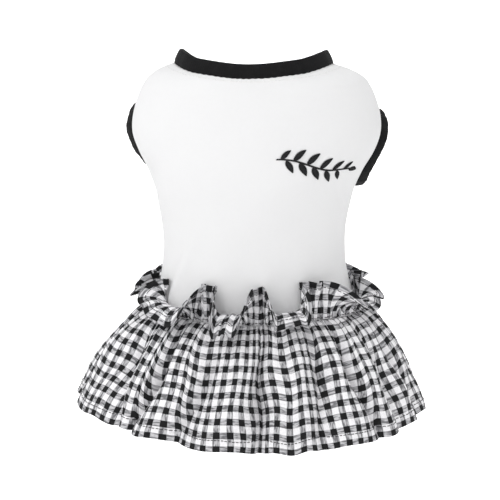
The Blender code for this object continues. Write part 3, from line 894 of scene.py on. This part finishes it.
def scaled(desk, colour, tone):
    """The colour times a value."""
    node = desk.add("ShaderNodeMix", data_type="RGBA", blend_type="MULTIPLY")
    desk.put(node, 0, 1.0)
    desk.put(node, 6, colour)
    grey = desk.add("ShaderNodeCombineColor")
    for i in range(3):
        desk.put(grey, i, tone)
    desk.put(node, 7, grey.outputs[0])
    return node.outputs[2]


def add_bump(desk, shader, height, distance, strength):
    node = desk.add("ShaderNodeBump")
    desk.put(node, "Height", height)
    desk.put(node, "Distance", distance)
    desk.put(node, "Strength", strength)
    desk.put(shader, "Normal", node.outputs[0])


def cloth_places(desk):
    """(the piece's own cloth UV, Object coordinates)"""
    uv = desk.add("ShaderNodeUVMap", uv_map="cloth")
    return uv.outputs[0], desk.add("ShaderNodeTexCoord").outputs["Object"]


def jersey_material():
    material, desk, shader = new_material("white_jersey", 0.88)
    uv, place = cloth_places(desk)
    knit = place_group(desk, "knit", Vector=uv, Pitch=sizes().wale_pitch, Rib=0.0)
    tone = place_group(desk, "tone", Vector=place, Amount=0.05)
    colour = scaled(desk, with_alpha(colours().jersey), tone.outputs[0])
    # Painted shade: the jersey's colour is darkened by up to 5% in the grooves between its columns of loops.
    painted_valley_shade = desk.math("SUBTRACT", 1.0, desk.math("MULTIPLY", knit.outputs["Valley"], 0.05))
    desk.put(shader, "Base Color", scaled(desk, colour, painted_valley_shade))
    add_bump(desk, shader, knit.outputs["Height"], 0.00012, 0.5)
    shader.inputs["Sheen Weight"].default_value = 0.15
    shader.inputs["Sheen Roughness"].default_value = 0.5
    return material


def rib_material():
    material, desk, shader = new_material("black_rib_knit", 0.9)
    uv, place = cloth_places(desk)
    knit = place_group(desk, "knit", Vector=uv, Pitch=sizes().rib_pitch, Rib=0.35)
    tone = place_group(desk, "tone", Vector=place, Amount=0.6)
    colour = scaled(desk, with_alpha(colours().knit), tone.outputs[0])
    # Painted shade: the band's colour follows the knit's height, darker in the grooves between loops and ribs
    # and lighter on their tops.
    lift = desk.math("ADD", 0.85, desk.math("MULTIPLY", knit.outputs["Height"], 0.2))
    desk.put(shader, "Base Color", scaled(desk, colour, lift))
    add_bump(desk, shader, knit.outputs["Height"], 0.00015, 0.5)
    shader.inputs["Sheen Weight"].default_value = 0.03
    shader.inputs["Sheen Roughness"].default_value = 0.4
    return material


def gingham_material():
    material, desk, shader = new_material("gingham_poplin", 0.82)
    uv, place = cloth_places(desk)
    weave = place_group(desk, "weave", Vector=uv, Pitch=sizes().thread_pitch)
    check = place_group(
        desk,
        "gingham",
        Vector=uv,
        Pitch=sizes().check_pitch,
        Light=with_alpha(colours().light_thread),
        Mixed=with_alpha(colours().mixed_check),
        Dark=with_alpha(colours().dark_thread),
    )
    tone = place_group(desk, "tone", Vector=place, Amount=0.22)
    # Painted shade: the cloth's colour follows the weave's height, darker between the threads and lighter
    # where they cross over.
    lift = desk.math("ADD", 0.88, desk.math("MULTIPLY", weave.outputs["Height"], 0.18))
    slub = desk.math("ADD", 0.86, desk.math("MULTIPLY", weave.outputs["Slub"], 0.28))
    colour = scaled(desk, check.outputs["Color"], desk.math("MULTIPLY", lift, slub))
    desk.put(shader, "Base Color", scaled(desk, colour, tone.outputs[0]))
    add_bump(desk, shader, weave.outputs["Height"], 0.00010, 0.6)
    return material


def thread_material(name, colour):
    """Twisted thread: a slanted wave in the object's own space for its plies, which bumps them and gives them
    painted shade, darker in the grooves between them and lighter on their tops.
    """
    material, desk, shader = new_material(name, 0.62)
    place = desk.add("ShaderNodeTexCoord").outputs["Object"]
    wave = desk.add("ShaderNodeTexWave", wave_type="BANDS", bands_direction="DIAGONAL")
    desk.put(wave, "Vector", place)
    desk.put(wave, "Scale", 900.0)
    desk.put(wave, "Distortion", 1.5)
    # Painted shade: the thread's colour follows the ply wave, darker in the grooves and lighter on the plies.
    tone = desk.math("ADD", 0.75, desk.math("MULTIPLY", wave.outputs["Fac"], 0.5))
    desk.put(shader, "Base Color", scaled(desk, with_alpha(colour), tone))
    add_bump(desk, shader, wave.outputs["Fac"], 0.00006, 0.6)
    return material


MATERIALS = {}


def material_of(name):
    makers = {
        "jersey": jersey_material,
        "knit": rib_material,
        "gingham": gingham_material,
        "thread": lambda: thread_material("black_thread", colours().sewing_thread),
        "white_thread": lambda: thread_material("white_thread", colours().white_sewing),
    }
    if name not in MATERIALS:
        MATERIALS[name] = makers[name]()
    return MATERIALS[name]


# Bodice


def leg_axes(side):
    turn = math.radians(LEG_TURN)
    droop = math.radians(LEG_DROOP)
    level = math.cos(droop)
    out = np.array([side * math.cos(turn) * level, math.sin(turn) * level, -math.sin(droop)])
    across = np.array([-side * math.sin(turn), math.cos(turn), 0.0])
    return out, across, np.cross(out, across) * side


def leg_centre(side):
    forward = LEG_HOLE_FORWARD - side * WORN_TWIST
    return np.array([side * LEG_HOLE_ACROSS, forward, -LEG_HOLE_DOWN - side * WORN_TILT])


def hole_distance(points, side):
    """1 on the leg hole's rim and less inside it: the length of (across/half width, up/half height) as seen
    along the leg, and far outside on the body's other side."""
    out, across, up = leg_axes(side)
    from_middle = points - leg_centre(side)
    wide = from_middle @ across / LEG_HOLE_HALF_WIDTH
    high = from_middle @ up / LEG_HOLE_HALF_HEIGHT
    near = from_middle @ out > -0.8 * LEG_HOLE_HALF_WIDTH
    return np.where(near, np.hypot(wide, high), 9.0)


def rim_distance(angle, down):
    points = bodice_face(angle, down)
    return np.minimum(hole_distance(points, 1), hole_distance(points, -1))


def panel(name, node, first, last, columns):
    """One jersey panel: the wrinkled face on a grid of angle and height, without the quads inside the leg
    holes, and with the quads' corners on each rim moved to it along the distance's slope."""
    gap = SIDE_SEAM_GAP / CHEST_HALF_WIDTH
    end = 1 + SEAM_ALLOWANCE / BODICE_LENGTH
    angle, down = np.meshgrid(
        np.linspace(math.radians(first) + gap, math.radians(last) - gap, columns),
        end * np.linspace(0, 1, PANEL_ROWS) ** 1.15,
    )
    faces = grid_faces(PANEL_ROWS, columns, False)
    inside = rim_distance(angle, down).ravel() < 1
    kept = ~inside[faces].all(axis=1)
    faces = faces[kept]
    moving = np.zeros(inside.size, bool)
    moving[np.unique(faces[inside[faces].any(axis=1)])] = True
    moving &= inside
    flat_angle, flat_down = angle.ravel().copy(), down.ravel().copy()
    step = 1e-4
    for _ in range(5):
        a, d = flat_angle[moving], flat_down[moving]
        here = rim_distance(a, d)
        by_angle = (rim_distance(a + step, d) - here) / step
        by_down = (rim_distance(a, d + step) - here) / step
        steep = np.maximum(by_angle**2 + by_down**2, 1e-6)
        flat_angle[moving] += np.clip((1 - here) * by_angle / steep, -0.05, 0.05)
        flat_down[moving] += np.clip((1 - here) * by_down / steep, -0.05, 0.05)
    points = jersey_face(flat_angle, flat_down)
    u = (flat_angle * CHEST_HALF_WIDTH * 0.85).reshape(angle.shape)
    v = (flat_down * BODICE_LENGTH).reshape(angle.shape)
    used = np.unique(faces)
    renumber = np.zeros(points.shape[0], np.int64)
    renumber[used] = np.arange(len(used))
    uv = corner_uv(u, v, faces)
    piece = new_piece(name, points[used], renumber[faces], material_of("jersey"), uv)
    add_wall(piece, sizes().jersey_thickness)
    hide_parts(node)
    return piece


class DRESS_OT_bodice(bpy.types.Operator):
    """Add the back and belly panels of the bodice"""

    bl_idname = "dog_dress.bodice"
    bl_label = "Bodice"

    def execute(self, context):
        back = panel("bodice_back", "back_panel", -180.0 - SIDE_SEAM_ANGLE, SIDE_SEAM_ANGLE, BACK_COLUMNS)
        far_seam = 180.0 - SIDE_SEAM_ANGLE
        belly = panel("bodice_belly", "belly_panel", SIDE_SEAM_ANGLE, far_seam, BELLY_COLUMNS)
        return {"FINISHED"}


# Knit bands


def band_profile():
    """Section of a folded band as (share of its height, share of half its thickness): a flat loop with a
    round top, a groove where it is stitched down, and its two legs astride the cloth."""
    turn = np.linspace(0, 2 * math.pi, BAND_SIDES, endpoint=False)
    rise = 0.5 - 0.5 * np.cos(turn)
    side = np.sign(np.sin(turn)) * np.abs(np.sin(turn)) ** 0.42
    groove = 1 - 0.16 * np.exp(-(((rise - 0.20) / 0.055) ** 2)) - 0.06 * np.exp(-(((rise - 0.75) / 0.2) ** 2))
    return rise, side * groove


def band_piece(name, node, base, up, out, lean, flip):
    """A band's section carried round a closed path: base + rise * up * height + side * out * half thickness,
    leaning in by lean * rise^1.3, with a slight wave along its length."""
    rise, side = band_profile()
    count = len(base)
    turn = np.linspace(0, 2 * math.pi, count, endpoint=False)
    wave = 0.00018 * np.sin(11 * turn + np.sin(3 * turn)) + 0.00010 * np.sin(29 * turn)
    height = sizes().band_height
    half = sizes().band_thickness / 2
    points = base[:, None] + (rise * height)[None, :, None] * up[:, None]
    over = side[None, :] * half - lean * (rise**1.3)[None, :] + wave[:, None] * (0.4 + rise)[None, :]
    points = points + over[..., None] * out[:, None]
    around = run_along(np.concatenate([base, base[:1]]), 0)
    length = around[-1]
    faces = grid_faces(count, len(rise), True)
    u = np.repeat(around[:count, None], len(rise), 1)
    v = np.repeat((rise * height)[None, :], count, 0)
    first = np.arange(len(rise))
    second = np.roll(first, -1)
    tail = (count - 1) * len(rise)
    join = np.stack([tail + first, first, second, tail + second], axis=1)
    faces = np.concatenate([faces, join])
    if flip:
        faces = faces[:, ::-1]
    uv = corner_uv(u, v, faces, length)
    piece = new_piece(name, points.reshape(-1, 3), faces, material_of("knit"), uv)
    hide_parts(node)


def neck_path(count):
    """The neck edge, just below the jersey's rim, with its outward and upward directions."""
    angle = np.linspace(-math.pi, math.pi, count, endpoint=False)
    radius = bodice_radius(angle, 0.0) - 0.0006
    base = round_point(angle, radius, neck_height(angle) - 0.0005)
    out = round_point(angle, np.ones(count), np.zeros(count))
    up = np.zeros((count, 3))
    up[:, 2] = 1.0
    return base, up, out


def inside_bodice(points):
    angle = np.arctan2(points[..., 1], points[..., 0])
    top = neck_height(angle)
    down = (top - points[..., 2]) / (top - seam_height(angle))
    return np.hypot(points[..., 0], points[..., 1]) < bodice_radius(angle, down)


def leg_path(side, count):
    """The leg hole's rim: points of the oval carried along the leg until they leave the bodice (by halving),
    with the leg's direction as up and the direction from the middle as out."""
    out, across, up = leg_axes(side)
    turn = np.linspace(0, 2 * math.pi, count, endpoint=False)
    inset = sizes().band_thickness / 2
    wide = np.outer((LEG_HOLE_HALF_WIDTH - inset) * np.cos(turn), across)
    high = np.outer((LEG_HOLE_HALF_HEIGHT - inset) * np.sin(turn), up)
    start = leg_centre(side) + wide + high
    near = np.full(count, -LEG_HOLE_HALF_WIDTH)
    far = np.full(count, LEG_HOLE_HALF_WIDTH)
    for _ in range(36):
        middle = (near + far) / 2
        inside = inside_bodice(start + np.outer(middle, out))
        near = np.where(inside, middle, near)
        far = np.where(inside, far, middle)
    away = wide + high
    away /= np.linalg.norm(away, axis=1, keepdims=True)
    base = start + np.outer(near - 0.0016, out)
    return base, np.tile(out, (count, 1)), away


class DRESS_OT_bands(bpy.types.Operator):
    """Add the knit bands of the neck and the leg holes"""

    bl_idname = "dog_dress.bands"
    bl_label = "Knit bands"

    def execute(self, context):
        base, up, out = neck_path(NECK_COLUMNS)
        band_piece("neck_binding", "neck_band", base, up, out, NECK_BAND_LEAN, True)
        for side, word in ((1, "right"), (-1, "left")):
            base, up, out = leg_path(side, LEG_COLUMNS)
            lean = LEG_BAND_LEAN[side]
            band_piece("leg_binding_" + word, "leg_band_" + word, base, up, out, lean, side > 0)
        return {"FINISHED"}


# Skirt and frill


def cloth_ring(name, node, surface, levels, spread_at, columns, flip):
    """A closed ring of gathered gingham from a surface function. u is the run round the ring at the level
    where the cloth is spread flattest, in whole checks, and v is the run up from the free edge."""
    angle, level = np.meshgrid(np.linspace(-math.pi, math.pi, columns, endpoint=False), levels)
    points = surface(angle, level)
    faces = grid_faces(len(levels), columns, True)
    if flip:
        faces = faces[:, ::-1]
    row = int(np.argmin(np.abs(levels - spread_at)))
    around = run_along(np.concatenate([points[row], points[row][:1]]), 0)
    full = whole_checks(around[-1])
    u = np.tile(around[:-1] * full / around[-1], (len(levels), 1))
    v = run_along(points[::-1], 0)[::-1]
    uv = corner_uv(u, v + EDGE_STRIPE * sizes().check_pitch, faces, full)
    piece = new_piece(name, points.reshape(-1, 3), faces, material_of("gingham"), uv)
    add_wall(piece, sizes().poplin_thickness)
    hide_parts(node)


class DRESS_OT_skirt(bpy.types.Operator):
    """Add the gathered gingham skirt"""

    bl_idname = "dog_dress.skirt"
    bl_label = "Skirt"

    def execute(self, context):
        levels = np.linspace(0, 1, SKIRT_ROWS) ** 1.15
        cloth_ring("skirt_cloth", "skirt", skirt_face, levels, 0.8, SKIRT_COLUMNS, False)
        return {"FINISHED"}


class DRESS_OT_frill(bpy.types.Operator):
    """Add the gingham frill over the waist seam"""

    bl_idname = "dog_dress.frill"
    bl_label = "Frill"

    def execute(self, context):
        levels = np.linspace(0, 1, FRILL_ROWS)
        cloth_ring("frill_cloth", "frill", frill_face, levels, 0.7, FRILL_COLUMNS, True)
        return {"FINISHED"}


# Stitching and embroidery


def add_stitches(name, rows, radius, material):
    points, faces = tubes(np.concatenate(rows), radius)
    new_piece(name, points, faces, material_of(material), None)


class DRESS_OT_stitching(bpy.types.Operator):
    """Add the machine stitches of the hems, the waist seam and the neck"""

    bl_idname = "dog_dress.stitching"
    bl_label = "Stitching"

    def execute(self, context):
        radius = sizes().thread_radius
        length = sizes().stitch_length
        hem_at = 1 - sizes().hem_width / (SKIRT_DROP * 1.13)
        hem = stitch_row(skirt_face, hem_at, int(HEM_RUN / length), STITCH_LIFT, STITCH_FILL)
        add_stitches("skirt_hem_stitches", [hem], radius, "thread")
        edge_at = 1 - sizes().frill_hem_width / FRILL_HEIGHT
        under = STITCH_LIFT + sizes().poplin_thickness
        count = int(FRILL_RUN / length)
        edge = stitch_row(frill_face, edge_at, count, -STITCH_LIFT, STITCH_FILL)
        back = stitch_row(frill_face, edge_at, count, STITCH_LIFT, STITCH_FILL, under)
        add_stitches("frill_edge_stitches", [edge, back], radius, "thread")
        seam = stitch_row(frill_face, 0.05, int(SEAM_RUN / length), -STITCH_LIFT, STITCH_FILL)
        add_stitches("waist_seam_stitches", [seam], radius, "thread")
        below = stitch_row(jersey_face, 0.012, int(NECK_RUN / length), NECK_STITCH_LIFT, NECK_STITCH_FILL)
        add_stitches("neck_seam_stitches", [below], radius * 0.8, "white_thread")
        return {"FINISHED"}


def sprig_point(along, across):
    """Angle and height of a point of the sprig, from metres along its slanted line and across it."""
    slant = math.radians(SPRIG_SLANT)
    right = along * math.cos(slant) + across * math.sin(slant)
    down = along * math.sin(slant) - across * math.cos(slant)
    return math.radians(SPRIG_AT) + right / SPRIG_RADIUS, SPRIG_DOWN + down / SPRIG_FALL


def stem_line(share):
    """The stem's gentle wave: metres along and across for a share of its length."""
    return (share - 0.5) * STEM_LENGTH, STEM_WAVE * np.sin(2 * math.pi * share + 0.4)


def leaf_stitches(row, sweep):
    """(along, across, lift) of a leaf's threads: each runs from one edge to the other, slanted back from the
    midrib, where the half width is 0.56 * width * sin(pi * s^0.8)^0.8."""
    root_along, root_across = stem_line(row["along"])
    lean = math.radians(LEAF_LEAN) * row["side"]
    spot = np.linspace(0.04, 0.97, int(row["length"] / LEAF_THREAD_PITCH))
    half = 0.56 * row["width"] * np.sin(math.pi * spot**0.8) ** 0.8
    over = sweep * half[:, None]
    ahead = (spot * row["length"] + 0.0006)[:, None] + 0.35 * over
    along = root_along + ahead * math.cos(lean) - over * math.sin(lean)
    across = root_across + ahead * math.sin(lean) + over * math.cos(lean)
    return along, across, LEAF_LIFT + LEAF_SWELL * half[:, None] * (1 - sweep**2)


def stem_stitches(sweep):
    """(along, across, lift) of the short slanted threads over the stem."""
    along, across = stem_line(np.linspace(0, 1, STEM_STITCHES))
    over = sweep * STEM_HALF_WIDTH
    across = across[:, None] + over
    return along[:, None] + 0.9 * over, across, np.full(across.shape, STEM_LIFT)


def sprig_threads():
    """Satin stitches of the leaves and the stem on the jersey, with ends that sink as the sixth power."""
    sweep = np.linspace(-1, 1, THREAD_STEPS)[None, :]
    threads = []
    for along, across, lift in [leaf_stitches(row, sweep) for row in SPRIG_LEAVES] + [stem_stitches(sweep)]:
        angle, down = sprig_point(along, across)
        rise = (lift - 0.0003 * sweep**6)[..., None]
        threads.append(jersey_face(angle, down) + rise * normals_of(bodice_face, angle, down))
    return np.concatenate(threads)


class DRESS_OT_embroidery(bpy.types.Operator):
    """Add the embroidered leaf sprig on the right of the chest"""

    bl_idname = "dog_dress.embroidery"
    bl_label = "Embroidered sprig"

    def execute(self, context):
        points, faces = tubes(sprig_threads(), EMBROIDERY_RADIUS)
        new_piece("embroidered_sprig", points, faces, material_of("thread"), None)
        return {"FINISHED"}


def loose_end(row):
    """A curl: out along the surface's normal, swinging sideways as a sine, and sinking as it goes."""
    share = np.linspace(0, 1, 11)
    on_frill = row["on"] == "frill"
    surface = frill_face if on_frill else skirt_face
    angle = np.full(1, math.radians(row["at"]))
    height = np.full(1, row["height"])
    away = normals_of(surface, angle, height)[0] * (-1.0 if on_frill else 1.0)
    side = np.array([-math.sin(angle[0]), math.cos(angle[0]), 0.0])
    length = row["length"]
    swing = 0.5 * length * (np.sin(2.2 * share + row["turn"]) - math.sin(row["turn"]))
    path = np.outer(0.7 * length * share - LOOSE_END_ROOT, away) + np.outer(swing, side)
    path[:, 2] -= 0.5 * length * share**2
    return surface(angle, height)[0] + path


class DRESS_OT_loose_ends(bpy.types.Operator):
    """Add the loose thread ends at the frill and the seams"""

    bl_idname = "dog_dress.loose_ends"
    bl_label = "Loose thread ends"

    def execute(self, context):
        for black, word, thread in ((True, "black", "thread"), (False, "white", "white_thread")):
            paths = [loose_end(row) for row in LOOSE_ENDS if row["black"] == black]
            points, faces = tubes(paths, LOOSE_END_RADIUS)
            new_piece("loose_ends_" + word, points, faces, material_of(thread), None)
        return {"FINISHED"}


# Studio


def add_light(name, place, aim, size, energy):
    data = bpy.data.lights.new(name, "AREA")
    data.shape = "RECTANGLE"
    data.size = size
    data.size_y = size
    data.energy = energy
    light = bpy.data.objects.new(name, data)
    bpy.context.scene.collection.objects.link(light)
    light.location = place
    direction = Vector((0, 0, aim)) - Vector(place)
    light.rotation_euler = direction.to_track_quat("-Z", "Y").to_euler()


def backdrop_material():
    material, desk, shader = new_material("pale_floor", 0.9)
    place = desk.add("ShaderNodeTexCoord").outputs["Object"]
    tone = place_group(desk, "tone", Vector=place, Amount=0.01)
    desk.put(shader, "Base Color", scaled(desk, with_alpha(colours().floor), tone.outputs[0]))
    seen = desk.add("ShaderNodeLightPath").outputs["Is Camera Ray"]
    desk.put(shader, "Emission Color", desk.mix(seen, FLOOR_GLOW, FLOOR_GLOW_SEEN))
    shader.inputs["Emission Strength"].default_value = 1.0
    return material


class DRESS_OT_studio(bpy.types.Operator):
    """Add the pale floor, the lights and the camera"""

    bl_idname = "dog_dress.studio"
    bl_label = "Studio"

    def execute(self, context):
        scene = context.scene
        # A floor that curves up into a wall all the way round, as a turned profile.
        turn = np.linspace(0, 2 * math.pi, FLOOR_SIDES, endpoint=False)
        bend = np.linspace(0, math.pi / 2, 24)
        radius = [[0.02, 2.0], FLOOR_RADIUS + COVE_RADIUS * np.sin(bend), [FLOOR_RADIUS + COVE_RADIUS]]
        radius = np.concatenate(radius)[:, None]
        height = np.concatenate([[0.0, 0.0], COVE_RADIUS * (1 - np.cos(bend)), [WALL_HEIGHT]])
        height = np.broadcast_to(height[:, None] + FLOOR_LEVEL, (len(radius), FLOOR_SIDES))
        points = round_point(turn, radius, height)
        mesh = bpy.data.meshes.new("floor")
        faces = grid_faces(len(radius), FLOOR_SIDES, True)[:, ::-1]
        mesh.from_pydata(points.reshape(-1, 3).tolist(), [], faces.tolist() + [list(range(FLOOR_SIDES))])
        mesh.shade_smooth()
        mesh.materials.append(backdrop_material())
        floor = bpy.data.objects.new("floor", mesh)
        scene.collection.objects.link(floor)
        for row in LIGHTS:
            add_light(**row)
        world = bpy.data.worlds.new("studio")
        world.use_nodes = True
        sky = world.node_tree.nodes["Background"]
        sky.inputs["Color"].default_value = (1, 1, 1, 1)
        sky.inputs["Strength"].default_value = WORLD_STRENGTH
        scene.world = world
        scene.view_settings.view_transform = "Standard"
        data = bpy.data.cameras.new("camera")
        data.sensor_width = SENSOR_WIDTH
        data.lens = SENSOR_WIDTH * CAMERA_DISTANCE / (IMAGE_PIXELS * METRES_PER_PIXEL)
        data.shift_x = (IMAGE_PIXELS / 2 - AIM_PIXEL[0]) / IMAGE_PIXELS
        data.shift_y = (AIM_PIXEL[1] - IMAGE_PIXELS / 2) / IMAGE_PIXELS
        data.clip_end = 50.0
        camera = bpy.data.objects.new("camera", data)
        scene.collection.objects.link(camera)
        a, e = math.radians(CAMERA_AZIMUTH), math.radians(CAMERA_ELEVATION)
        back = Vector((math.sin(a) * math.cos(e), -math.cos(a) * math.cos(e), math.sin(e)))
        camera.location = Vector(CAMERA_AIM) + back * CAMERA_DISTANCE
        camera.rotation_euler = (-back).to_track_quat("-Z", "Y").to_euler()
        scene.camera = camera
        return {"FINISHED"}


OPERATORS = (
    DRESS_OT_bodice,
    DRESS_OT_bands,
    DRESS_OT_skirt,
    DRESS_OT_frill,
    DRESS_OT_stitching,
    DRESS_OT_embroidery,
    DRESS_OT_loose_ends,
    DRESS_OT_studio,
)


class DRESS_PT_panel(bpy.types.Panel):
    """Lists the pieces of the dress"""

    bl_label = "Dog dress"
    bl_idname = "DRESS_PT_panel"
    bl_space_type = "VIEW_3D"
    bl_region_type = "UI"
    bl_category = "Dog dress"

    def draw(self, context):
        for settings in (context.scene.dress_sizes, context.scene.dress_colours):
            for key in settings.__annotations__:
                self.layout.prop(settings, key)
        for operator in OPERATORS:
            self.layout.operator(operator.bl_idname)


CLASSES = (DressSizes, DressColours, *OPERATORS, DRESS_PT_panel)


def register():
    for one in CLASSES:
        bpy.utils.register_class(one)
    bpy.types.Scene.dress_sizes = bpy.props.PointerProperty(type=DressSizes)
    bpy.types.Scene.dress_colours = bpy.props.PointerProperty(type=DressColours)


def unregister():
    del bpy.types.Scene.dress_colours
    del bpy.types.Scene.dress_sizes
    for one in reversed(CLASSES):
        bpy.utils.unregister_class(one)


def main():
    register()
    for operator in OPERATORS:
        group, name = operator.bl_idname.split(".")
        getattr(getattr(bpy.ops, group), name)()


if __name__ == "__main__":
    main()
